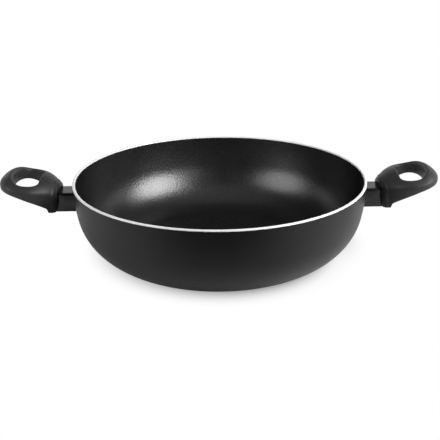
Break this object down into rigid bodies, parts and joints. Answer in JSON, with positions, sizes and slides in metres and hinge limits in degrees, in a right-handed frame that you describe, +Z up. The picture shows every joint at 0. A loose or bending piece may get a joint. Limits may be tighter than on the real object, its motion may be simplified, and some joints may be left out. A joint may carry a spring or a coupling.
{
  "type": "deep frying pan",
  "caption": "Deep round frying pan with a curved wall, a bare metal rim and a short loop handle on each side, for frying, braising and serving.",
  "frame": {"origin": "centre of the flat base, on the surface the pan stands on", "axes": "+Z up through the open mouth, +X out along the right-hand handle, -Y toward the viewer"},
  "size_m": [0.4196, 0.28, 0.0817],
  "materials": {
    "coated_aluminium": "satin",
    "bakelite": "satin",
    "guard_metal": "satin",
    "bare_aluminium": "satin",
    "zinc_steel": "satin"
  },
  "bodies": {
    "root": {"pan_body": "coated_aluminium", "right_weld_stud": "bare_aluminium", "right_flame_guard": "guard_metal", "right_handle_grip": "bakelite", "right_lock_washer": "zinc_steel", "right_handle_screw": "zinc_steel", "left_weld_stud": "bare_aluminium", "left_flame_guard": "guard_metal", "left_handle_grip": "bakelite", "left_lock_washer": "zinc_steel", "left_handle_screw": "zinc_steel"}
  },
  "joints": []
}
